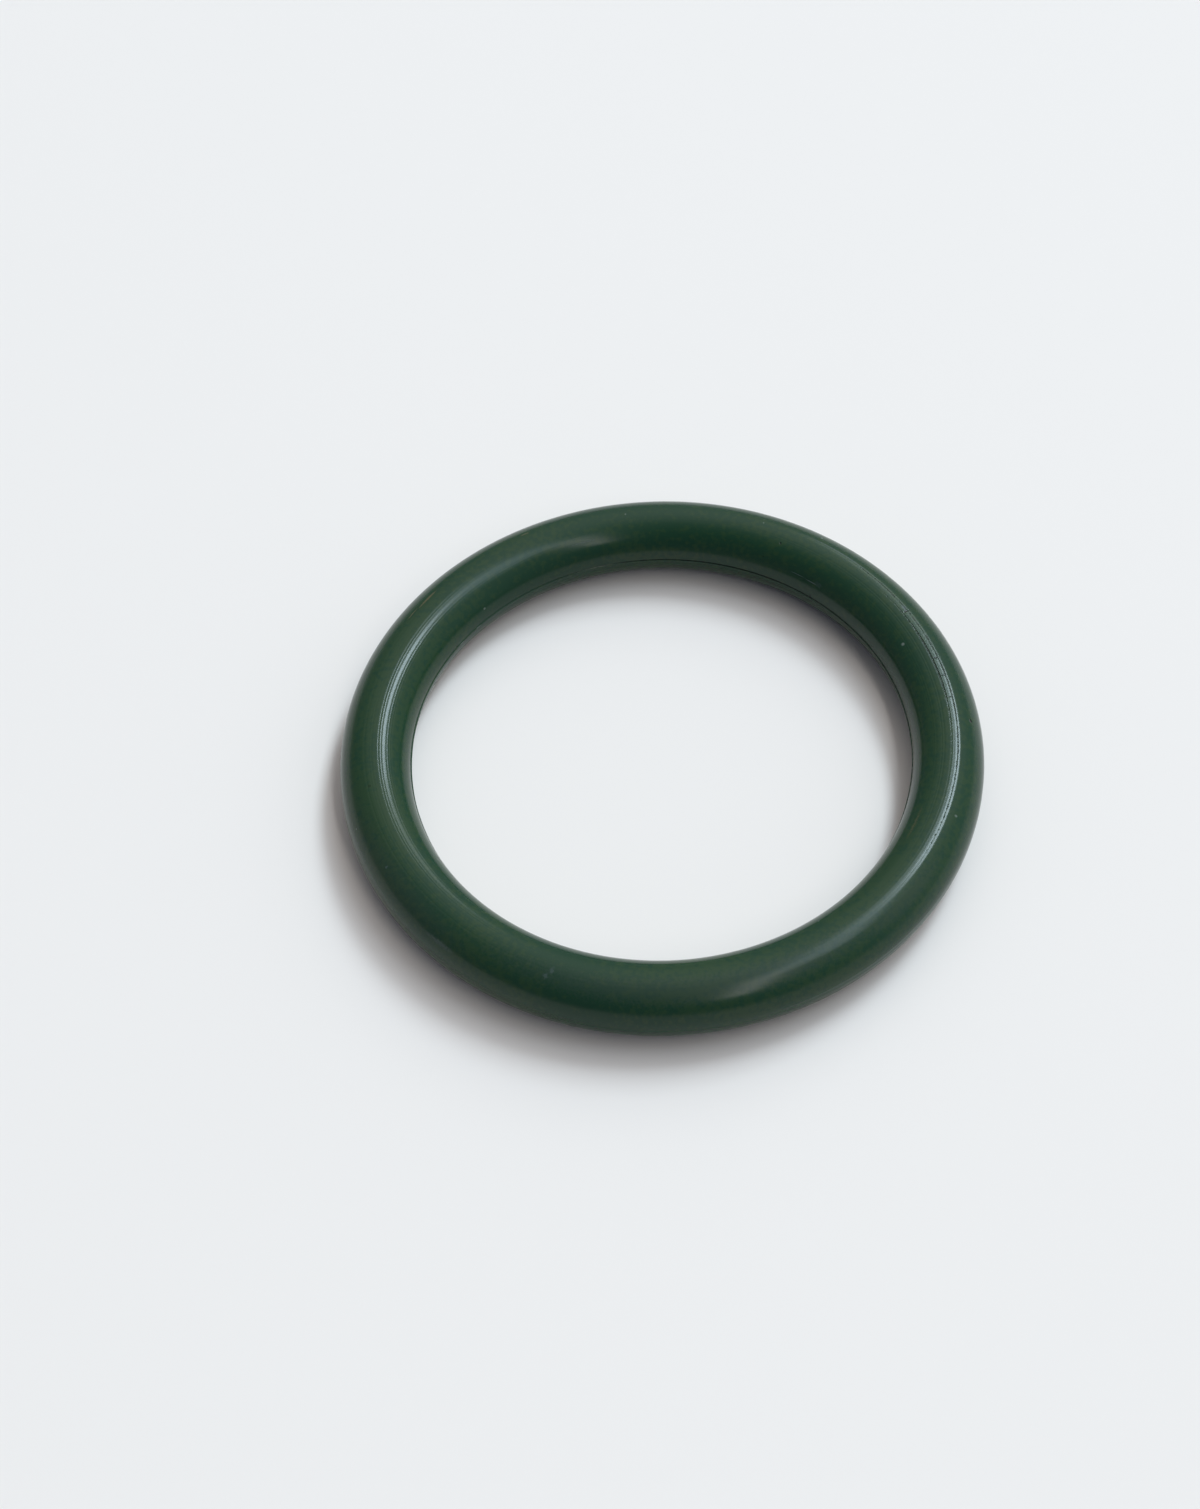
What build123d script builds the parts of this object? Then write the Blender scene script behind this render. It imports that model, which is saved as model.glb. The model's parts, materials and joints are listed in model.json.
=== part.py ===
from build123d import *

import os
from math import sqrt

# O-ring: a sealing ring of round section, moulded from rubber in one piece.
# It lies flat with its axis along +Z. The origin is the centre of the ring, in the
# plane where the two halves of its mould met. All sizes are in millimetres.

# Driving dimensions
inside_diameter = 24.99  # across the hole, between the rounds of the section
section_diameter = 3.53  # thickness of the round section
flash_height = 0.05  # how far the trimmed flash stands proud inside the ring
flash_root_width = 0.18  # that flash where it leaves the round, along the axis
flash_land_width = 0.12  # its trimmed edge, along the axis
ground_width = 0.3  # band outside the ring where the flash is ground off flush

# Sizes that follow from the driving dimensions
section_radius = section_diameter / 2
mean_radius = inside_diameter / 2 + section_radius
flash_root_radius = mean_radius - sqrt(section_radius**2 - (flash_root_width / 2) ** 2)
flash_land_radius = inside_diameter / 2 - flash_height
ground_radius = mean_radius + sqrt(section_radius**2 - (ground_width / 2) ** 2)

with BuildPart() as o_ring:
    with BuildSketch(Plane.XZ) as section:
        with Locations((mean_radius, 0)):
            Circle(section_radius)

        # Inside the ring, what is left of the flash tapers from its root, which lies
        # on the round, to the edge where it was trimmed.
        with BuildLine() as flash:
            Polyline(
                (flash_root_radius, flash_root_width / 2),
                (flash_land_radius, flash_land_width / 2),
                (flash_land_radius, -flash_land_width / 2),
                (flash_root_radius, -flash_root_width / 2),
                close=True,
            )
        make_face()

        # Outside the ring, grinding took the flash off and left a narrow straight band.
        with Locations((ground_radius, 0)):
            Rectangle(
                section_radius,
                ground_width,
                align=(Align.MIN, Align.CENTER),
                mode=Mode.SUBTRACT,
            )
    revolve(axis=Axis.Z)

o_ring.part.label = "o_ring"

os.makedirs("parts", exist_ok=True)
export_step(o_ring.part, "parts/o_ring.step")
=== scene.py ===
"""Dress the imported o-ring as the photograph shows it: a green rubber ring lying on a pale floor.

Lengths are in metres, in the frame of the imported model. The ring lies flat round the Z axis, and
the plane in which the two halves of its mould met is Z = 0. Two angles place things on the rubber:
"around" is the angle about the Z axis from +X, and "over" is the angle about the round section,
from its outermost point (0 degrees) over the crown (90) to the innermost point (180).
"""

import json
import logging
import math
import random
from dataclasses import dataclass, field
from enum import Enum

import bpy
from mathutils import Matrix, Vector


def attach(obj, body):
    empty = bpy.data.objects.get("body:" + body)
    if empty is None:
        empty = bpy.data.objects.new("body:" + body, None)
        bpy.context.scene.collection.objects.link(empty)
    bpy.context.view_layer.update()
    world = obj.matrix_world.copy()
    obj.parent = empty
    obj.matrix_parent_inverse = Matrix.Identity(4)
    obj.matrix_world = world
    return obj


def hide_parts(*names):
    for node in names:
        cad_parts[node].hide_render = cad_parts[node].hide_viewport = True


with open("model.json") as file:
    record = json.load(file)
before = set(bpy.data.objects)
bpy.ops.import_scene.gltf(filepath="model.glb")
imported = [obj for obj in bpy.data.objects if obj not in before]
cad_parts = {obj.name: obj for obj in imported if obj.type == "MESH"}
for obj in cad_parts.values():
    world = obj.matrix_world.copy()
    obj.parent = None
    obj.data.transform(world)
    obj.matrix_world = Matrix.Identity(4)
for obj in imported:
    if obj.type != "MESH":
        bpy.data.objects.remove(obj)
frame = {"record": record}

MM = 0.001
NODE = "o_ring"
BODY = "root"
FLASH_HEIGHT = 0.05 * MM
# Middle of what a noise gives
NOISE_MEAN = 0.5
# Where a mark starts to fade and where it ends, as shares of its half size
MARK_CORE = 0.25
MARK_EDGE = 1.25
# Smallest scattered speck as a share of the usual one, and the full middle of a speck as a share of it
LEAST_SPECK = 0.35
SPECK_CORE = 0.5
# Watts of an area lamp for each square metre of its face, at a radiance of 1
LAMP_POWER = 4.0

Feed = bpy.types.NodeSocket | float | tuple[float, ...]
Colour = tuple[float, float, float]

log = logging.getLogger("o_ring_scene")


class MarkKind(Enum):
    """What a small mark on the rubber is."""

    # Some kinds carry painted light: greyish sheen, glints among the scuffs and specks, and shade along
    # the flash root and inside pits and nicks.
    BLOOM = "painted_sheen"
    SMEAR = "smear"
    SCUFF = "scuff"
    SPECK = "speck"
    PIT = "pit"
    NICK = "nick"
    GRIME = "flash_root_shade"


@dataclass(frozen=True)
class RingSizes:
    """Sizes of the ring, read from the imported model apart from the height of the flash.

    Attributes:
        section_radius: Radius of the round section.
        mean_radius: Radius of the circle on which the section's centre lies.
        flash_height: How far the flash inside the ring stands proud.
        flash_land: Width of its trimmed edge along the axis.
        ground_radius: Radius of the band outside the ring where the flash is ground off.
        ground_width: Width of that band along the axis.
    """

    section_radius: float
    mean_radius: float
    flash_height: float
    flash_land: float
    ground_radius: float
    ground_width: float

    @classmethod
    def from_record(cls, record: dict, flash_height: float) -> "RingSizes":
        """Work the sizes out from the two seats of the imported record.

        Args:
            record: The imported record.
            flash_height: How far the flash inside the ring stands proud.

        Returns:
            The sizes in metres.
        """
        seats = {mount["name"]: mount["dims"] for mount in record["mounts"]}
        ground_radius = seats["outer_seat"]["r_mm"] * MM
        ground_width = seats["outer_seat"]["length_mm"] * MM
        hole_radius = seats["inner_seat"]["r_mm"] * MM + flash_height
        thickness = ground_radius - hole_radius
        section_radius = (thickness**2 + (ground_width / 2) ** 2) / (2 * thickness)
        return cls(
            section_radius=section_radius,
            mean_radius=hole_radius + section_radius,
            flash_height=flash_height,
            flash_land=seats["inner_seat"]["length_mm"] * MM,
            ground_radius=ground_radius,
            ground_width=ground_width,
        )


@dataclass(frozen=True)
class ToolMarks:
    """Fine rings that the turned mould left on the two crowns of the section.

    Attributes:
        grooves: Angle over the section of each groove in degrees, and its depth.
        half_width: Half width of a groove, in degrees over the section.
        shoulder: Where the shallow hollow outside the last groove starts, is lowest and ends.
        shoulder_depth: Depth of that hollow.
        worn_share: Share of their depth that is left at the front and back of the ring.
    """

    grooves: tuple[tuple[float, float], ...] = (
        (67.5, 0.0016 * MM),
        (70.4, 0.0016 * MM),
        (76.9, 0.0042 * MM),
        (84.2, 0.0018 * MM),
        (88.4, 0.0030 * MM),
        (93.5, 0.0012 * MM),
        (99.7, 0.0064 * MM),
        (103.7, 0.0046 * MM),
        (113.1, 0.0036 * MM),
        (117.3, 0.0045 * MM),
        (120.8, 0.0036 * MM),
    )
    half_width: float = 1.5
    shoulder: tuple[float, float, float] = (74.0, 67.0, 52.0)
    shoulder_depth: float = 0.004 * MM
    worn_share: float = 0.3


@dataclass(frozen=True)
class SurfaceMark:
    """One small mark on the rubber, placed by its two angles in degrees.

    Attributes:
        kind: What the mark is.
        around: Angle about the Z axis.
        over: Angle over the section.
        length: Length round the ring.
        width: Width over the section.
        strength: How much of the mark's effect shows, from 0 to 1.
        breaks: How far its edge wanders; above 2 the mark falls into dashes.
    """

    kind: MarkKind
    around: float
    over: float
    length: float
    width: float
    strength: float = 1.0
    breaks: float = 1.1


@dataclass(frozen=True)
class NoiseLayer:
    """One layer of noise on the rubber.

    Attributes:
        cells: Cells of the noise in a unit of length.
        detail: Number of finer layers in it.
    """

    cells: float
    detail: float


@dataclass(frozen=True)
class Scatter:
    """Specks scattered over the rubber.

    Attributes:
        cells: Cells of the scatter in a metre.
        radius: Usual radius of a speck, as a share of a cell.
        share: Share of the cells that hold a speck.
        shift: How far the scatter is moved, so that two of them differ.
        strength: How much of the specks' effect shows, from 0 to 1.
    """

    cells: float
    radius: float
    share: float
    shift: float
    strength: float


@dataclass(frozen=True)
class RubberFinish:
    """The moulded green rubber and the small marks on it, some of them painted sheen, glints and shade.

    Attributes:
        deep_green: Colour of the rubber where it is darkest.
        pale_green: Colour where a little whitish film has come to the surface.
        painted_sheen: Greyish colour of the painted sheen on the front upper flanks, which stands in for
            the reflection of the light above.
        ochre: Colour of a smear of old grease.
        scuffed_and_glint: Colour of a rubbed spot, and of two painted glints: a light line along a ridge
            of the outer crown, and one in a scratch at the end of a highlight.
        dust: Colour of the dust, and of three painted glints on the flash inside the ring.
        painted_shade: Near-black painted shade, laid along the root of the flash inside the ring and
            inside each pit and nick.
        roughness: Roughness of the clean skin.
        roughness_spread: How far the roughness wanders over the ring.
        worn_roughness: Roughness that scuffs and smears add.
        dust_roughness: Roughness that dust adds.
        index: Refractive index of the skin.
        grain_height: Height of the fine grain.
        line_height: Height of the finest turning lines, too fine for the mesh.
        line_pitch: Angle over the section from one of these lines to the next, in degrees.
        line_drift: How quickly the lines change on their way round the ring.
        hollow_depth: Depth of pits and nicks.
        cloud: Wide clouds in the green.
        mottle: Fine mottling of the green.
        mottle_share: How much the mottling counts beside the clouds.
        pale_range: Noise at which the green starts to turn pale, and at which it is palest.
        gloss: Noise by which the roughness wanders.
        ragged: Noise that makes the edges of the marks ragged.
        grain: Fine grain of the skin.
        scattered_dust: Dust between the marks.
        scattered_pits: Pits between the marks.
        marks: The marks that the photograph shows.
    """

    deep_green: Colour = (0.0095, 0.0388, 0.0195)
    pale_green: Colour = (0.0167, 0.0450, 0.0190)
    painted_sheen: Colour = (0.050, 0.062, 0.056)
    ochre: Colour = (0.085, 0.075, 0.034)
    scuffed_and_glint: Colour = (0.06, 0.085, 0.085)
    dust: Colour = (0.17, 0.2, 0.18)
    painted_shade: Colour = (0.002, 0.004, 0.003)
    roughness: float = 0.21
    roughness_spread: float = 0.04
    worn_roughness: float = 0.2
    dust_roughness: float = 0.4
    index: float = 1.325
    grain_height: float = 0.0010 * MM
    line_height: float = 0.0009 * MM
    line_pitch: float = 1.6
    line_drift: float = 140.0
    hollow_depth: float = 0.016 * MM
    cloud: NoiseLayer = NoiseLayer(150.0, 3.0)
    mottle: NoiseLayer = NoiseLayer(3500.0, 3.0)
    mottle_share: float = 1.1
    pale_range: tuple[float, float] = (0.36, 0.64)
    gloss: NoiseLayer = NoiseLayer(420.0, 4.0)
    ragged: NoiseLayer = NoiseLayer(9000.0, 2.0)
    grain: NoiseLayer = NoiseLayer(11000.0, 2.0)
    scattered_dust: Scatter = Scatter(900.0, 0.09, 0.12, 0.011, 0.4)
    scattered_pits: Scatter = Scatter(800.0, 0.07, 0.16, 0.037, 0.6)
    marks: tuple[SurfaceMark, ...] = (
        # These three paint sheen: greyish patches on the front upper flanks that stand in for the
        # reflection of the light above.
        SurfaceMark(MarkKind.BLOOM, 276.0, 68.0, 24.0 * MM, 1.5 * MM, 0.3),
        SurfaceMark(MarkKind.BLOOM, 214.0, 56.0, 11.0 * MM, 1.5 * MM, 0.2),
        SurfaceMark(MarkKind.BLOOM, 318.0, 57.0, 7.0 * MM, 1.0 * MM, 0.25),
        SurfaceMark(MarkKind.SMEAR, 142.5, 72.2, 1.5 * MM, 0.16 * MM, 0.9),
        SurfaceMark(MarkKind.SMEAR, 147.3, 69.5, 0.9 * MM, 0.1 * MM, 0.7),
        SurfaceMark(MarkKind.SMEAR, 334.5, 118.5, 2.1 * MM, 0.2 * MM, 0.35),
        SurfaceMark(MarkKind.SMEAR, 117.2, 72.0, 0.6 * MM, 0.2 * MM, 0.4),
        SurfaceMark(MarkKind.SCUFF, 51.0, 148.0, 0.8 * MM, 0.06 * MM, 1.0, 0.6),
        SurfaceMark(MarkKind.SCUFF, 54.8, 147.2, 1.0 * MM, 0.05 * MM, 0.6, 0.6),
        SurfaceMark(MarkKind.SCUFF, 49.3, 146.0, 0.5 * MM, 0.3 * MM, 0.25, 1.8),
        # This long line is a painted highlight along a ridge of the outer crown.
        SurfaceMark(MarkKind.SCUFF, 49.5, 74.6, 4.2 * MM, 0.11 * MM, 0.45, 0.8),
        SurfaceMark(MarkKind.SCUFF, 30.6, 79.5, 0.4 * MM, 0.2 * MM, 0.8, 2.2),
        SurfaceMark(MarkKind.SCUFF, 16.5, 90.6, 5.0 * MM, 0.06 * MM, 0.5, 2.2),
        SurfaceMark(MarkKind.SCUFF, 227.0, 34.5, 2.0 * MM, 0.3 * MM, 0.4, 0.7),
        SurfaceMark(MarkKind.SCUFF, 209.0, 56.0, 0.16 * MM, 0.2 * MM, 0.6),
        SurfaceMark(MarkKind.SCUFF, 248.5, 77.0, 0.22 * MM, 0.4 * MM, 0.4),
        SurfaceMark(MarkKind.SCUFF, 247.7, 66.5, 0.26 * MM, 0.34 * MM, 0.45),
        # This line is a painted glint in a scratch at the end of a highlight.
        SurfaceMark(MarkKind.SCUFF, 106.8, 126.5, 1.3 * MM, 0.07 * MM, 0.45, 1.6),
        SurfaceMark(MarkKind.SPECK, 134.6, 155.5, 0.16 * MM, 0.13 * MM, 0.5),
        SurfaceMark(MarkKind.SPECK, 5.4, 171.5, 0.14 * MM, 0.07 * MM, 0.8),
        SurfaceMark(MarkKind.SPECK, 327.9, 146.5, 0.17 * MM, 0.12 * MM, 0.5),
        SurfaceMark(MarkKind.SPECK, 22.8, 119.0, 0.2 * MM, 0.2 * MM, 0.7, 0.6),
        SurfaceMark(MarkKind.SPECK, 54.9, 60.5, 0.15 * MM, 0.2 * MM, 0.5),
        SurfaceMark(MarkKind.SPECK, 339.0, 60.5, 0.16 * MM, 0.16 * MM, 0.5),
        SurfaceMark(MarkKind.SPECK, 66.9, 81.0, 0.1 * MM, 0.12 * MM, 0.4),
        SurfaceMark(MarkKind.SPECK, 96.0, 88.0, 0.1 * MM, 0.12 * MM, 0.4),
        SurfaceMark(MarkKind.SPECK, 197.9, 35.5, 0.12 * MM, 0.1 * MM, 0.5),
        SurfaceMark(MarkKind.SPECK, 298.8, 131.5, 0.1 * MM, 0.1 * MM, 0.4),
        SurfaceMark(MarkKind.SPECK, 302.8, 124.5, 0.1 * MM, 0.1 * MM, 0.4),
        SurfaceMark(MarkKind.SPECK, 316.2, 141.0, 0.1 * MM, 0.1 * MM, 0.4),
        # These three, on the flash inside the ring, are painted glints, not dust.
        SurfaceMark(MarkKind.SPECK, 137.9, 179.0, 0.45 * MM, 0.07 * MM, 0.7),
        SurfaceMark(MarkKind.SPECK, 143.9, 179.5, 0.4 * MM, 0.07 * MM, 0.7),
        SurfaceMark(MarkKind.SPECK, 156.1, 179.5, 0.3 * MM, 0.07 * MM, 0.6),
        # Pits and nicks are sunk by the bump and painted near black inside: painted shade.
        SurfaceMark(MarkKind.PIT, 1.4, 51.2, 0.26 * MM, 0.2 * MM, 1.0, 0.6),
        SurfaceMark(MarkKind.PIT, 61.5, 110.0, 0.12 * MM, 0.12 * MM, 0.8),
        SurfaceMark(MarkKind.PIT, 312.5, 139.5, 0.24 * MM, 0.12 * MM, 0.8),
        SurfaceMark(MarkKind.PIT, 211.5, 147.0, 0.24 * MM, 0.2 * MM, 0.5),
        SurfaceMark(MarkKind.PIT, 145.8, 175.0, 0.14 * MM, 0.1 * MM, 0.8),
        SurfaceMark(MarkKind.PIT, 50.5, 174.5, 0.14 * MM, 0.1 * MM, 0.8),
        SurfaceMark(MarkKind.PIT, 67.4, 62.5, 0.1 * MM, 0.12 * MM, 0.8),
        SurfaceMark(MarkKind.PIT, 191.0, 79.3, 0.18 * MM, 0.2 * MM, 0.35),
        SurfaceMark(MarkKind.NICK, 8.0, 78.0, 14.0 * MM, 0.065 * MM, 0.75, 3.6),
        SurfaceMark(MarkKind.NICK, 16.0, 87.9, 8.5 * MM, 0.085 * MM, 0.9, 1.7),
        SurfaceMark(MarkKind.NICK, 37.0, 77.5, 4.0 * MM, 0.05 * MM, 0.7, 3.0),
        SurfaceMark(MarkKind.NICK, 29.5, 81.0, 0.12 * MM, 0.42 * MM, 1.0, 1.8),
        SurfaceMark(MarkKind.NICK, 16.5, 82.0, 0.11 * MM, 0.4 * MM, 1.0, 1.8),
        SurfaceMark(MarkKind.NICK, 12.0, 81.0, 0.1 * MM, 0.3 * MM, 0.8, 1.8),
        SurfaceMark(MarkKind.NICK, 6.5, 83.0, 0.09 * MM, 0.24 * MM, 0.7),
        # This dark line along the root of the flash inside the ring is painted shade.
        SurfaceMark(MarkKind.GRIME, 63.0, 177.2, 23.0 * MM, 0.065 * MM, 0.75, 1.6),
    )


class ShaderBench:
    """Places nodes in one node tree and joins their sockets."""

    def __init__(self, tree: bpy.types.NodeTree) -> None:
        """Clear the tree and work on it."""
        self.tree = tree
        tree.nodes.clear()

    def place(self, kind: str, **settings: object) -> bpy.types.Node:
        """Add a node.

        Args:
            kind: Blender's name of the node's type.
            settings: Properties of the node and their values.

        Returns:
            The new node.
        """
        node = self.tree.nodes.new(kind)
        for name, value in settings.items():
            setattr(node, name, value)
        return node

    def feed(self, socket: bpy.types.NodeSocket, value: Feed) -> None:
        """Join another node's output to an input socket, or set the socket to a plain value.

        Args:
            socket: The input socket.
            value: An output socket, a number or a colour.
        """
        if isinstance(value, bpy.types.NodeSocket):
            self.tree.links.new(value, socket)
        else:
            socket.default_value = value

    def maths(self, operation: str, *values: Feed) -> bpy.types.NodeSocket:
        """Add a Math node.

        Args:
            operation: Blender's name of the operation.
            values: What its inputs take, in order.

        Returns:
            The result's socket.
        """
        node = self.place("ShaderNodeMath", operation=operation)
        for socket, value in zip(node.inputs, values):
            self.feed(socket, value)
        return node.outputs["Value"]

    def highest(self, *values: bpy.types.NodeSocket) -> bpy.types.NodeSocket:
        """Take the highest of several values.

        Args:
            values: The values' sockets, at least one.

        Returns:
            The result's socket.
        """
        result = values[0]
        for value in values[1:]:
            result = self.maths("MAXIMUM", result, value)
        return result

    def ramp(
        self, value: Feed, low: Feed, high: Feed, at_low: float, at_high: float
    ) -> bpy.types.NodeSocket:
        """Carry a value smoothly from one level to another.

        Args:
            value: What varies.
            low: Where the change starts.
            high: Where the change ends.
            at_low: Result at the start.
            at_high: Result at the end.

        Returns:
            The result's socket.
        """
        node = self.place("ShaderNodeMapRange", interpolation_type="SMOOTHSTEP")
        for name, given in (("Value", value), ("From Min", low), ("From Max", high)):
            self.feed(node.inputs[name], given)
        node.inputs["To Min"].default_value = at_low
        node.inputs["To Max"].default_value = at_high
        return node.outputs["Result"]

    def blend(self, share: Feed, first: Feed, second: Feed) -> bpy.types.NodeSocket:
        """Mix two colours.

        Args:
            share: Share of the second colour.
            first: First colour.
            second: Second colour.

        Returns:
            The mixed colour's socket.
        """
        node = self.place("ShaderNodeMix", data_type="RGBA")
        names = {"Factor_Float": share, "A_Color": first, "B_Color": second}
        for socket in node.inputs:
            if socket.identifier in names:
                self.feed(socket, opaque(names[socket.identifier]))
        return next(out for out in node.outputs if out.identifier == "Result_Color")

    def noise(self, vector: Feed, layer: NoiseLayer) -> bpy.types.NodeSocket:
        """Add a Noise Texture.

        Args:
            vector: Where the noise is read.
            layer: Its cells and detail.

        Returns:
            The socket of the noise, which lies about NOISE_MEAN.
        """
        node = self.place("ShaderNodeTexNoise")
        self.feed(node.inputs["Vector"], vector)
        node.inputs["Scale"].default_value = layer.cells
        node.inputs["Detail"].default_value = layer.detail
        return node.outputs["Fac"]

    def use(self, group: bpy.types.NodeTree, **values: Feed) -> bpy.types.Node:
        """Place a node group.

        Args:
            group: The group's node tree.
            values: What its inputs take; an underscore stands for a space in their names.

        Returns:
            The group's node.
        """
        node = self.place("ShaderNodeGroup", node_tree=group)
        for name, value in values.items():
            self.feed(node.inputs[name.replace("_", " ")], value)
        return node


def opaque(value: Feed) -> Feed:
    """Give a plain colour its fourth number; anything else stays as it is."""
    if isinstance(value, tuple) and len(value) == 3:
        return (*value, 1.0)
    return value


def start_group(name: str, inputs: tuple[str, ...], outputs: tuple[str, ...]) -> bpy.types.NodeTree:
    """Make an empty shader node group with number sockets.

    Args:
        name: Name of the group.
        inputs: Names of its inputs.
        outputs: Names of its outputs.

    Returns:
        The group's node tree.
    """
    tree = bpy.data.node_groups.new(name, "ShaderNodeTree")
    for way, titles in (("INPUT", inputs), ("OUTPUT", outputs)):
        for title in titles:
            tree.interface.new_socket(name=title, in_out=way, socket_type="NodeSocketFloat")
    return tree


class RubberEffects:
    """The node groups that the rubber's skin is made of."""

    def __init__(self) -> None:
        """Build each group once."""
        self.place = self.build_place()
        self.mark = self.build_mark()
        self.lines = self.build_lines()
        self.specks = self.build_specks()

    @staticmethod
    def build_place() -> bpy.types.NodeTree:
        """Tell where on the ring a point lies: its two angles, and its distance from the axis.

        Returns:
            The group's node tree.
        """
        tree = start_group("ring_place", ("Mean Radius",), ("Around", "Over", "Reach"))
        bench = ShaderBench(tree)
        given = bench.place("NodeGroupInput").outputs
        split = bench.place("ShaderNodeSeparateXYZ")
        bench.feed(split.inputs["Vector"], bench.place("ShaderNodeTexCoord").outputs["Object"])
        x, y, z = (split.outputs[axis] for axis in "XYZ")
        square = bench.maths("ADD", bench.maths("MULTIPLY", x, x), bench.maths("MULTIPLY", y, y))
        reach = bench.maths("SQRT", square)
        outward = bench.maths("SUBTRACT", reach, given["Mean Radius"])
        result = bench.place("NodeGroupOutput")
        bench.feed(result.inputs["Around"], bench.maths("DEGREES", bench.maths("ARCTAN2", y, x)))
        bench.feed(result.inputs["Over"], bench.maths("DEGREES", bench.maths("ARCTAN2", z, outward)))
        bench.feed(result.inputs["Reach"], reach)
        return tree

    @staticmethod
    def build_mark() -> bpy.types.NodeTree:
        """Build the mask of one mark: a ragged patch at an angle around and an angle over the ring.

        Returns:
            The group's node tree.
        """
        here = ("Around Here", "Over Here", "Reach", "Ragged")
        sizes = ("Section Radius", "Around", "Over", "Length", "Width", "Breaks")
        tree = start_group("surface_mark", here + sizes, ("Mask",))
        bench = ShaderBench(tree)
        given = bench.place("NodeGroupInput").outputs

        def part(angle: str, radius: str, size: str) -> bpy.types.NodeSocket:
            """Distance from the mark's middle one way, as a share of its half size.

            Args:
                angle: Name of the angle.
                radius: Name of the radius that the angle turns on.
                size: Name of the size.

            Returns:
                The share's socket.
            """
            apart = bench.maths("SUBTRACT", given[f"{angle} Here"], given[angle])
            apart = bench.maths("RADIANS", bench.maths("WRAP", apart, 180.0, -180.0))
            length = bench.maths("MULTIPLY", apart, given[radius])
            return bench.maths("DIVIDE", length, bench.maths("MULTIPLY", given[size], 0.5))

        along = part("Around", "Reach", "Length")
        across = part("Over", "Section Radius", "Width")
        square = bench.maths("MULTIPLY_ADD", along, along, bench.maths("MULTIPLY", across, across))
        edge = bench.maths("MULTIPLY_ADD", given["Ragged"], given["Breaks"], bench.maths("SQRT", square))
        result = bench.place("NodeGroupOutput")
        bench.feed(result.inputs["Mask"], bench.ramp(edge, MARK_CORE, MARK_EDGE, 1.0, 0.0))
        return tree

    @staticmethod
    def build_lines() -> bpy.types.NodeTree:
        """Build fine lines that run round the ring at a steady angle over the section.

        Returns:
            The group's node tree.
        """
        tree = start_group("turning_lines", ("Over Here", "Pitch", "Drift"), ("Height",))
        bench = ShaderBench(tree)
        given = bench.place("NodeGroupInput").outputs
        split = bench.place("ShaderNodeSeparateXYZ")
        bench.feed(split.inputs["Vector"], bench.place("ShaderNodeTexCoord").outputs["Object"])
        read_at = bench.place("ShaderNodeCombineXYZ")
        bench.feed(read_at.inputs["X"], bench.maths("DIVIDE", given["Over Here"], given["Pitch"]))
        bench.feed(read_at.inputs["Y"], bench.maths("MULTIPLY", split.outputs["X"], given["Drift"]))
        bench.feed(read_at.inputs["Z"], bench.maths("MULTIPLY", split.outputs["Y"], given["Drift"]))
        result = bench.place("NodeGroupOutput")
        bench.feed(result.inputs["Height"], bench.noise(read_at.outputs["Vector"], NoiseLayer(1.0, 1.0)))
        return tree

    @staticmethod
    def build_specks() -> bpy.types.NodeTree:
        """Build a mask of scattered specks, most cells of the scatter being bare.

        Returns:
            The group's node tree.
        """
        tree = start_group("scattered_specks", ("Cells", "Radius", "Share", "Shift"), ("Mask",))
        bench = ShaderBench(tree)
        given = bench.place("NodeGroupInput").outputs
        moved = bench.place("ShaderNodeVectorMath", operation="ADD")
        bench.feed(moved.inputs[0], bench.place("ShaderNodeTexCoord").outputs["Object"])
        bench.feed(moved.inputs[1], given["Shift"])
        cells = bench.place("ShaderNodeTexVoronoi", feature="F1")
        bench.feed(cells.inputs["Vector"], moved.outputs["Vector"])
        bench.feed(cells.inputs["Scale"], given["Cells"])
        chance = bench.place("ShaderNodeSeparateColor")
        bench.feed(chance.inputs["Color"], cells.outputs["Color"])
        holds_one = bench.maths("LESS_THAN", chance.outputs["Red"], given["Share"])
        size = bench.maths("ADD", chance.outputs["Green"], LEAST_SPECK)
        radius = bench.maths("MULTIPLY", given["Radius"], size)
        core = bench.maths("MULTIPLY", radius, SPECK_CORE)
        spot = bench.ramp(cells.outputs["Distance"], core, radius, 1.0, 0.0)
        result = bench.place("NodeGroupOutput")
        bench.feed(result.inputs["Mask"], bench.maths("MULTIPLY", spot, holds_one))
        return tree


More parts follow.
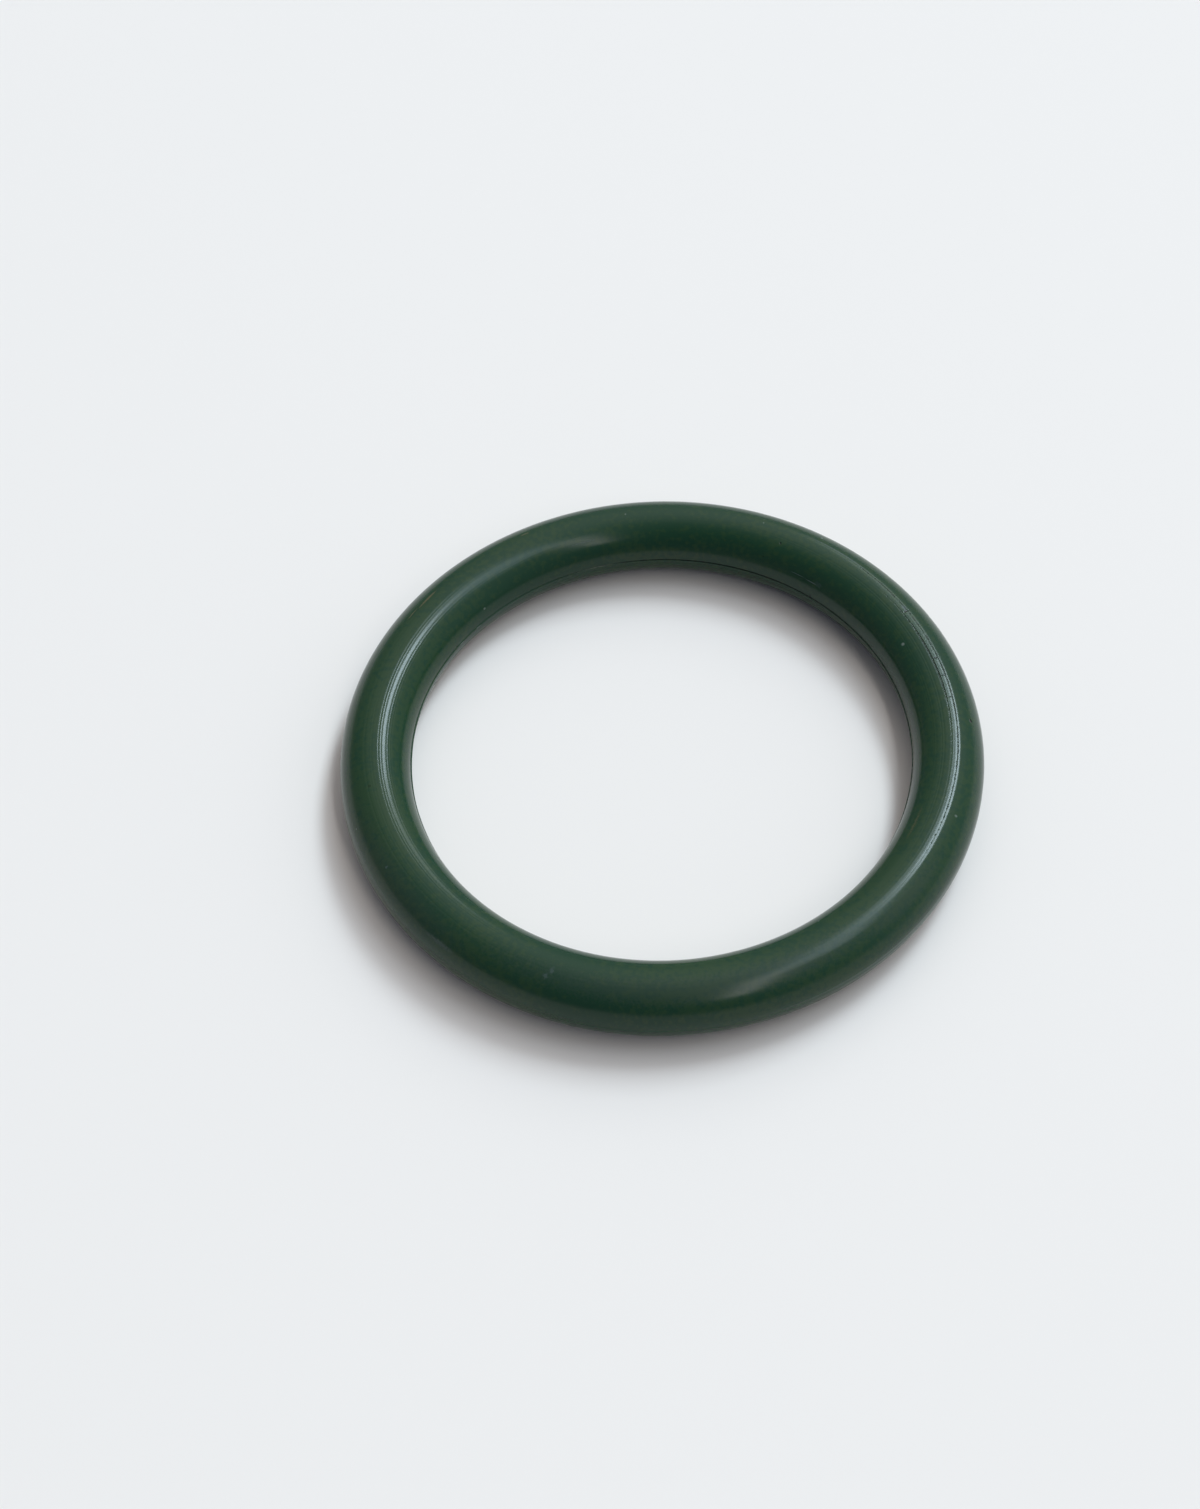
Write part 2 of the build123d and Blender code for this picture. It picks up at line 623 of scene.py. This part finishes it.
@dataclass
class RubberSkin:
    """The rubber's material.

    Attributes:
        finish: Colours, gloss and marks.
        sizes: Sizes of the ring, which place the marks.
        effects: The node groups.
    """

    finish: RubberFinish
    sizes: RingSizes
    effects: RubberEffects

    def mark_mask(
        self, bench: ShaderBench, kind: MarkKind, place: bpy.types.Node, ragged: bpy.types.NodeSocket
    ) -> bpy.types.NodeSocket:
        """Join the masks of all marks of one kind.

        Args:
            bench: The material's bench.
            kind: Kind of mark.
            place: Node that tells where on the ring a point lies.
            ragged: Noise about 0 that makes the marks' edges ragged.

        Returns:
            The joint mask's socket.
        """
        masks = []
        for mark in self.finish.marks:
            if mark.kind is not kind:
                continue
            node = bench.use(
                self.effects.mark,
                Around_Here=place.outputs["Around"],
                Over_Here=place.outputs["Over"],
                Reach=place.outputs["Reach"],
                Ragged=ragged,
                Section_Radius=self.sizes.section_radius,
                Around=mark.around,
                Over=mark.over,
                Length=mark.length,
                Width=mark.width,
                Breaks=mark.breaks,
            )
            masks.append(bench.maths("MULTIPLY", node.outputs["Mask"], mark.strength))
        return bench.highest(*masks)

    def scatter_mask(self, bench: ShaderBench, scatter: Scatter) -> bpy.types.NodeSocket:
        """Scatter specks over the ring.

        Args:
            bench: The material's bench.
            scatter: Size and number of the specks.

        Returns:
            The specks' mask.
        """
        node = bench.use(
            self.effects.specks,
            Cells=scatter.cells,
            Radius=scatter.radius,
            Share=scatter.share,
            Shift=scatter.shift,
        )
        return bench.maths("MULTIPLY", node.outputs["Mask"], scatter.strength)

    def paint(
        self,
        bench: ShaderBench,
        spot: bpy.types.NodeSocket,
        coats: tuple[tuple[bpy.types.NodeSocket, Colour], ...],
    ) -> bpy.types.NodeSocket:
        """Mottle the green and lay the colours of the marks over it, painted sheen, glints and shade among
        them.

        Args:
            bench: The material's bench.
            spot: Where on the ring the noise is read.
            coats: Mask and colour of each kind of mark, the lowest first.

        Returns:
            The colour's socket.
        """
        finish = self.finish
        mottle = bench.maths("SUBTRACT", bench.noise(spot, finish.mottle), NOISE_MEAN)
        pale = bench.maths("MULTIPLY_ADD", mottle, finish.mottle_share, bench.noise(spot, finish.cloud))
        share = bench.ramp(pale, *finish.pale_range, 0.0, 1.0)
        colour = bench.blend(share, finish.deep_green, finish.pale_green)
        for mask, coat in coats:
            colour = bench.blend(mask, colour, coat)
        return colour

    def relief(
        self,
        bench: ShaderBench,
        spot: bpy.types.NodeSocket,
        place: bpy.types.Node,
        hollows: bpy.types.NodeSocket,
    ) -> bpy.types.NodeSocket:
        """Raise the grain and the turning lines, and sink the pits and nicks.

        Args:
            bench: The material's bench.
            spot: Where on the ring the noise is read.
            place: Node that tells where on the ring a point lies.
            hollows: Mask of the pits and nicks.

        Returns:
            The socket of the bumped normal.
        """
        finish = self.finish
        grain = bench.maths("MULTIPLY", bench.noise(spot, finish.grain), finish.grain_height)
        lines = bench.use(
            self.effects.lines,
            Over_Here=place.outputs["Over"],
            Pitch=finish.line_pitch,
            Drift=finish.line_drift,
        )
        height = bench.maths("MULTIPLY_ADD", lines.outputs["Height"], finish.line_height, grain)
        height = bench.maths("MULTIPLY_ADD", hollows, -finish.hollow_depth, height)
        bump = bench.place("ShaderNodeBump")
        bump.inputs["Strength"].default_value = 1.0
        bump.inputs["Distance"].default_value = 1.0
        bench.feed(bump.inputs["Height"], height)
        return bump.outputs["Normal"]

    def build(self) -> bpy.types.Material:
        """Build the material.

        Returns:
            The material.
        """
        finish = self.finish
        material = bpy.data.materials.new("moulded_green_rubber")
        material.use_nodes = True
        bench = ShaderBench(material.node_tree)
        spot = bench.place("ShaderNodeTexCoord").outputs["Object"]
        place = bench.use(self.effects.place, Mean_Radius=self.sizes.mean_radius)
        ragged = bench.maths("SUBTRACT", bench.noise(spot, finish.ragged), NOISE_MEAN)
        marks = {kind: self.mark_mask(bench, kind, place, ragged) for kind in MarkKind}
        dust = self.scatter_mask(bench, finish.scattered_dust)
        pits = self.scatter_mask(bench, finish.scattered_pits)
        # Dust specks, with the painted glints on the flash among them.
        dust_and_glints = bench.highest(dust, marks[MarkKind.SPECK])
        hollows = bench.highest(pits, marks[MarkKind.PIT], marks[MarkKind.NICK])
        # Painted shade: pits, nicks and the line along the root of the flash are painted near black.
        painted_shade_spots = bench.highest(hollows, marks[MarkKind.GRIME])
        worn = bench.highest(marks[MarkKind.SCUFF], marks[MarkKind.SMEAR])

        # Painted sheen, painted glints and painted shade are laid on here, together with the real smears,
        # scuffs and dust.
        coats = (
            (marks[MarkKind.BLOOM], finish.painted_sheen),
            (marks[MarkKind.SMEAR], finish.ochre),
            (marks[MarkKind.SCUFF], finish.scuffed_and_glint),
            (dust_and_glints, finish.dust),
            (painted_shade_spots, finish.painted_shade),
        )
        wander = bench.maths("SUBTRACT", bench.noise(spot, finish.gloss), NOISE_MEAN)
        roughness = bench.maths("MULTIPLY_ADD", wander, finish.roughness_spread, finish.roughness)
        roughness = bench.maths("MULTIPLY_ADD", worn, finish.worn_roughness, roughness)
        roughness = bench.maths("MULTIPLY_ADD", dust_and_glints, finish.dust_roughness, roughness)

        shader = bench.place("ShaderNodeBsdfPrincipled")
        shader.inputs["IOR"].default_value = finish.index
        bench.feed(shader.inputs["Base Color"], self.paint(bench, spot, coats))
        bench.feed(shader.inputs["Roughness"], roughness)
        bench.feed(shader.inputs["Normal"], self.relief(bench, spot, place, hollows))
        output = bench.place("ShaderNodeOutputMaterial")
        bench.feed(output.inputs["Surface"], shader.outputs["BSDF"])
        return material


@dataclass
class SealRing:
    """The ring itself: a round section with the traces of its mould.

    Attributes:
        sizes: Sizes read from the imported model.
        tool_marks: The fine rings on the crowns.
        steps_around: Sections round the ring.
        crown: First and last angle over the section of the finely divided crown, in degrees.
        crown_step: Angle between points on the upper crown, in degrees.
        hidden_step: Angle between points on the crown that the ring lies on, in degrees.
        flank_step: Angle between points elsewhere, in degrees.
        edge_step: Angle from an edge to the points that hold it crisp, in degrees.
        flash_flare: How much wider the flash is at its root than at its edge.
        flash_share: Least height of the ragged flash, as a share of its full height.
        flash_seed: Seed of the ragged flash.
        flash_waves: Waves round the ring of which the ragged flash is made.
        piece: The finished object.
    """

    sizes: RingSizes
    tool_marks: ToolMarks = field(default_factory=ToolMarks)
    steps_around: int = 300
    crown: tuple[float, float] = (63.0, 126.0)
    crown_step: float = 0.45
    hidden_step: float = 1.2
    flank_step: float = 4.0
    edge_step: float = 0.2
    flash_flare: float = 1.5
    flash_share: float = 0.55
    flash_seed: int = 5
    flash_waves: tuple[int, ...] = (3, 7, 13, 22, 37, 61)
    piece: bpy.types.Object | None = None

    def angles_over(self) -> list[float]:
        """Choose the angles over the section at which the mesh has points.

        Returns:
            Angles in degrees, from just past the inner parting plane once round the section.
        """
        sizes = self.sizes
        band = math.degrees(math.asin(sizes.ground_width / 2 / sizes.section_radius))
        land = math.degrees(math.asin(sizes.flash_land / 2 / sizes.section_radius))
        root = land * self.flash_flare
        first, last = self.crown
        edges = [0.0, band - self.edge_step, band, band + self.edge_step, first, last]
        edges += [180.0 - root - self.edge_step, 180.0 - root, 180.0 - root + self.edge_step]
        edges += [180.0 - land - self.edge_step, 180.0 - land, 180.0 - land + self.edge_step, 180.0]
        upper = self.divide(edges, self.crown_step)
        lower = [-angle for angle in reversed(self.divide(edges, self.hidden_step)[1:-1])]
        return lower + upper

    def divide(self, edges: list[float], crown_step: float) -> list[float]:
        """Divide one half of the section between its edges.

        Args:
            edges: Angles of the edges in degrees, rising.
            crown_step: Angle between points on the crown.

        Returns:
            The angles of all points, the first and last edge among them.
        """
        angles = [edges[0]]
        for start, end in zip(edges, edges[1:]):
            step = crown_step if (start, end) == self.crown else self.flank_step
            count = max(1, round((end - start) / step))
            angles += [start + (end - start) * (number + 1) / count for number in range(count)]
        return angles

    def groove(self, over: float) -> float:
        """Depth of the tool marks at an angle over the section; the lower crown has them too.

        Args:
            over: Angle in degrees.

        Returns:
            Depth below the round section.
        """
        marks = self.tool_marks
        over = abs(over)
        depth = 0.0
        for middle, deepest in marks.grooves:
            depth += deepest * math.exp(-(((over - middle) / marks.half_width) ** 2))
        start, lowest, end = marks.shoulder
        if lowest < over < start:
            depth += marks.shoulder_depth * math.sin(math.pi / 2 * (start - over) / (start - lowest))
        elif end < over <= lowest:
            fade = math.cos(math.pi * (lowest - over) / (lowest - end))
            depth += marks.shoulder_depth * (0.5 + 0.5 * fade)
        return depth

    def flash_heights(self) -> list[float]:
        """Height of the flash at each section round the ring, ragged where it was torn off.

        Returns:
            Heights above the round section.
        """
        draw = random.Random(self.flash_seed)
        waves = [(number, draw.uniform(0.0, math.tau), draw.random()) for number in self.flash_waves]
        total = sum(weight for _, _, weight in waves)
        full = self.sizes.flash_height
        heights = []
        for step in range(self.steps_around):
            turn = math.tau * step / self.steps_around
            lift = sum(weight * math.sin(number * turn + start) for number, start, weight in waves) / total
            heights.append(full * (self.flash_share + (1.0 - self.flash_share) * (0.5 + 0.5 * lift)))
        return heights

    def section_point(self, over: float, depth: float, flash_height: float) -> tuple[float, float]:
        """Place one point of the section.

        Args:
            over: Angle over the section in degrees.
            depth: Depth of the tool marks there.
            flash_height: Height of the flash at this section.

        Returns:
            Distance from the Z axis, and height.
        """
        sizes = self.sizes
        radius = sizes.section_radius - depth
        angle = math.radians(over)
        reach = min(sizes.mean_radius + radius * math.cos(angle), sizes.ground_radius)
        height = radius * math.sin(angle)
        land = sizes.flash_land / 2
        root = land * self.flash_flare
        if math.cos(angle) < 0 and abs(height) < root:
            rise = min(1.0, (root - abs(height)) / (root - land))
            reach -= rise * flash_height
        return reach, height

    def build(self) -> bpy.types.Object:
        """Build the ring's mesh as sections joined round the Z axis.

        Returns:
            The new object.
        """
        angles = self.angles_over()
        heights = self.flash_heights()
        rows = len(angles)
        depths = [self.groove(over) for over in angles]
        points = []
        for step, flash_height in enumerate(heights):
            turn = math.tau * step / self.steps_around
            worn = self.tool_marks.worn_share
            left = worn + (1.0 - worn) * math.cos(turn) ** 2
            for over, depth in zip(angles, depths):
                reach, height = self.section_point(over, left * depth, flash_height)
                points.append((reach * math.cos(turn), reach * math.sin(turn), height))
        faces = []
        for step in range(self.steps_around):
            here, there = step * rows, (step + 1) % self.steps_around * rows
            for row in range(rows):
                after = (row + 1) % rows
                faces.append((here + row, there + row, there + after, here + after))
        mesh = bpy.data.meshes.new("rubber_ring")
        mesh.from_pydata(points, [], faces)
        mesh.shade_smooth()
        mesh.validate()
        self.piece = bpy.data.objects.new("rubber_ring", mesh)
        bpy.context.scene.collection.objects.link(self.piece)
        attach(self.piece, BODY)
        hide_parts(NODE)
        return self.piece

    def dress(self, finish: RubberFinish) -> None:
        """Give the ring its rubber.

        Args:
            finish: The rubber's finish.
        """
        skin = RubberSkin(finish, self.sizes, RubberEffects())
        self.piece.data.materials.append(skin.build())


@dataclass(frozen=True)
class SoftBox:
    """One soft lamp of the studio, facing the ring.

    Attributes:
        name: Name of the lamp.
        toward: Direction from the ring to the lamp.
        distance: Distance of the lamp from the ring.
        width: Width of its face, across the way it leans.
        height: Length of its face, along the way it leans.
        roll: Turn of the face about its own axis, in degrees.
        radiance: Brightness of the face, where 1 is white.
        colour: Tint of its light.
    """

    name: str
    toward: tuple[float, float, float]
    distance: float
    width: float
    height: float
    roll: float
    radiance: float
    colour: Colour

    def hang(self) -> bpy.types.Object:
        """Hang the lamp.

        Returns:
            The lamp's object.
        """
        light = bpy.data.lights.new(self.name, "AREA")
        light.shape = "RECTANGLE"
        light.size = self.width
        light.size_y = self.height
        light.color = self.colour
        light.energy = LAMP_POWER * self.radiance * self.width * self.height
        lamp = bpy.data.objects.new(self.name, light)
        away = Vector(self.toward).normalized()
        lamp.location = away * self.distance
        lamp.rotation_mode = "QUATERNION"
        turn = Matrix.Rotation(math.radians(self.roll), 4, "Z").to_quaternion()
        lamp.rotation_quaternion = away.to_track_quat("Z", "Y") @ turn
        bpy.context.scene.collection.objects.link(lamp)
        return lamp


@dataclass(frozen=True)
class RoomGlow:
    """Soft light that one side of the room sends.

    Attributes:
        side: Direction that it comes from.
        colour: Its brightness and tint in the middle.
        sharpness: How quickly it fades away from the middle.
    """

    side: tuple[float, float, float]
    colour: Colour
    sharpness: float = 2.0


@dataclass(frozen=True)
class StudioFinish:
    """Colours of the floor and of the soft light that comes from all round.

    Attributes:
        floor_white: Colour of the floor.
        glows: Light from the sides of the room and from above.
    """

    floor_white: Colour = (0.838, 0.784, 0.75)
    glows: tuple[RoomGlow, ...] = (
        RoomGlow((1.0, 0.0, 0.0), (0.28, 0.32, 0.365)),
        RoomGlow((-1.0, 0.0, 0.0), (0.2, 0.22, 0.26)),
        RoomGlow((0.0, 1.0, 0.0), (0.09, 0.1, 0.115)),
        RoomGlow((0.0, -1.0, 0.0), (0.11, 0.13, 0.21)),
        RoomGlow((0.15, 0.62, 0.77), (1.15, 1.12, 1.08), 5.0),
        RoomGlow((0.68, 0.05, 0.73), (0.46, 0.455, 0.455), 4.0),
        RoomGlow((-0.6, 0.2, 0.77), (0.095, 0.09, 0.086), 4.0),
    )


@dataclass(frozen=True)
class Studio:
    """The pale floor, the room's soft light and the lamps.

    Attributes:
        floor_height: Height of the floor, on which the ring lies.
        finish: Colours of floor and room.
        floor_radius: Radius of the round floor, its turned-up edge included.
        edge_radius: Radius of the bend in which the floor's edge turns up.
        edge_steps: Steps in that bend.
        floor_steps: Steps round the floor.
        lamps: The soft lamps.
    """

    floor_height: float
    finish: StudioFinish = StudioFinish()
    floor_radius: float = 2.0
    edge_radius: float = 0.16
    edge_steps: int = 10
    floor_steps: int = 96
    lamps: tuple[SoftBox, ...] = (
        SoftBox("window", (0.402, 0.504, 0.764), 2.0, 0.38, 0.81, 43.0, 14.2, (0.82, 1.0, 1.12)),
        SoftBox("window_foot", (0.37, 0.2, 0.907), 2.0, 0.6, 1.44, 66.0, 2.4, (0.82, 1.0, 1.15)),
        SoftBox("warm_lamp", (0.29, -0.46, 0.84), 2.0, 0.17, 1.4, -26.0, 5.2, (1.0, 1.0, 0.97)),
        SoftBox("window_head", (0.308, 0.781, 0.543), 2.0, 0.39, 0.58, 16.0, 2.25, (0.85, 1.0, 0.95)),
    )

    def lay_floor(self) -> bpy.types.Object:
        """Lay the floor under the ring, its edge turned up so that low views have no dark horizon.

        Returns:
            The floor's object.
        """
        points = []
        for level in range(self.edge_steps + 1):
            bend = math.pi / 2 * level / self.edge_steps
            reach = self.floor_radius - self.edge_radius * (1.0 - math.sin(bend))
            height = self.floor_height + self.edge_radius * (1.0 - math.cos(bend))
            for step in range(self.floor_steps):
                turn = math.tau * step / self.floor_steps
                points.append((reach * math.cos(turn), reach * math.sin(turn), height))
        faces = [tuple(range(self.floor_steps))]
        for level in range(self.edge_steps):
            low, high = level * self.floor_steps, (level + 1) * self.floor_steps
            for step in range(self.floor_steps):
                after = (step + 1) % self.floor_steps
                faces.append((low + step, low + after, high + after, high + step))
        mesh = bpy.data.meshes.new("pale_floor")
        mesh.from_pydata(points, [], faces)
        for face in mesh.polygons[1:]:
            face.use_smooth = True
        material = bpy.data.materials.new("pale_floor")
        material.use_nodes = True
        bench = ShaderBench(material.node_tree)
        shader = bench.place("ShaderNodeBsdfDiffuse")
        bench.feed(shader.inputs["Color"], opaque(self.finish.floor_white))
        output = bench.place("ShaderNodeOutputMaterial")
        bench.feed(output.inputs["Surface"], shader.outputs["BSDF"])
        mesh.materials.append(material)
        floor = bpy.data.objects.new("pale_floor", mesh)
        bpy.context.scene.collection.objects.link(floor)
        return floor

    def light_room(self) -> None:
        """Light the room softly from its sides and from above."""
        world = bpy.data.worlds.new("soft_room")
        world.use_nodes = True
        bench = ShaderBench(world.node_tree)
        way = bench.place("ShaderNodeTexCoord").outputs["Generated"]
        room: Feed = (0.0, 0.0, 0.0)
        for glow in self.finish.glows:
            facing = bench.place("ShaderNodeVectorMath", operation="DOT_PRODUCT")
            bench.feed(facing.inputs[0], way)
            facing.inputs[1].default_value = Vector(glow.side).normalized()
            share = bench.maths("MAXIMUM", facing.outputs["Value"], 0.0)
            share = bench.maths("POWER", share, glow.sharpness)
            added = bench.place("ShaderNodeVectorMath", operation="MULTIPLY_ADD")
            bench.feed(added.inputs[0], share)
            added.inputs[1].default_value = glow.colour
            bench.feed(added.inputs[2], room)
            room = added.outputs["Vector"]
        sky = bench.place("ShaderNodeBackground")
        bench.feed(sky.inputs["Color"], room)
        output = bench.place("ShaderNodeOutputWorld")
        bench.feed(output.inputs["Surface"], sky.outputs["Background"])
        bpy.context.scene.world = world

    def build(self) -> list[bpy.types.Object]:
        """Lay the floor, light the room and hang the lamps.

        Returns:
            The floor and the lamps.
        """
        self.light_room()
        return [self.lay_floor(), *(lamp.hang() for lamp in self.lamps)]


@dataclass(frozen=True)
class PhotoCamera:
    """The camera, placed as for the photograph; lengths are in mean radii of the ring.

    Attributes:
        mean_radius: Mean radius of the ring.
        elevation: Angle above the floor, in degrees.
        distance: Distance from the ring's centre.
        roll: Turn about the line of sight, in degrees.
        aim: Point of the ring's plane at the middle of the picture.
        focal_length: Focal length in millimetres, for a picture 36 mm on its long side.
        near_clip: Distance at which the picture starts.
    """

    mean_radius: float
    elevation: float = 53.894
    distance: float = 9.7811
    roll: float = -3.3885
    aim: tuple[float, float] = (-0.21357, -0.00062)
    focal_length: float = 66.66
    near_clip: float = 0.1

    def place(self) -> bpy.types.Object:
        """Place the camera and make it the scene's own.

        Returns:
            The camera's object.
        """
        rise = math.radians(self.elevation)
        eye = Vector((0.0, -math.cos(rise), math.sin(rise))) * self.distance * self.mean_radius
        target = Vector((*self.aim, 0.0)) * self.mean_radius
        back = (eye - target).normalized()
        right = Vector((0.0, 0.0, 1.0)).cross(back).normalized()
        up = back.cross(right)
        level = Matrix((right, up, back)).transposed()
        turn = Matrix.Rotation(math.radians(self.roll), 3, "Z")
        data = bpy.data.cameras.new("photo_camera")
        data.lens = self.focal_length
        data.clip_start = self.near_clip * self.mean_radius
        camera = bpy.data.objects.new("photo_camera", data)
        camera.matrix_world = Matrix.Translation(eye) @ (level @ turn).to_4x4()
        bpy.context.scene.collection.objects.link(camera)
        bpy.context.scene.camera = camera
        return camera


def main() -> None:
    """Build the ring and its studio, and report each piece."""
    logging.basicConfig(level=logging.INFO, format="%(name)s: %(message)s")
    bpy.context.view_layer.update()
    bpy.context.scene.view_settings.view_transform = "Standard"
    sizes = RingSizes.from_record(frame["record"], FLASH_HEIGHT)

    ring = SealRing(sizes)
    piece = ring.build()
    ring.dress(RubberFinish())
    log.info("%s: %d faces", piece.name, len(piece.data.polygons))

    for thing in Studio(floor_height=-sizes.section_radius).build():
        log.info("%s: stands ready", thing.name)
    camera = PhotoCamera(sizes.mean_radius).place()
    log.info("%s: %.1f mm from the ring", camera.name, camera.location.length / MM)


if __name__ == "__main__":
    main()
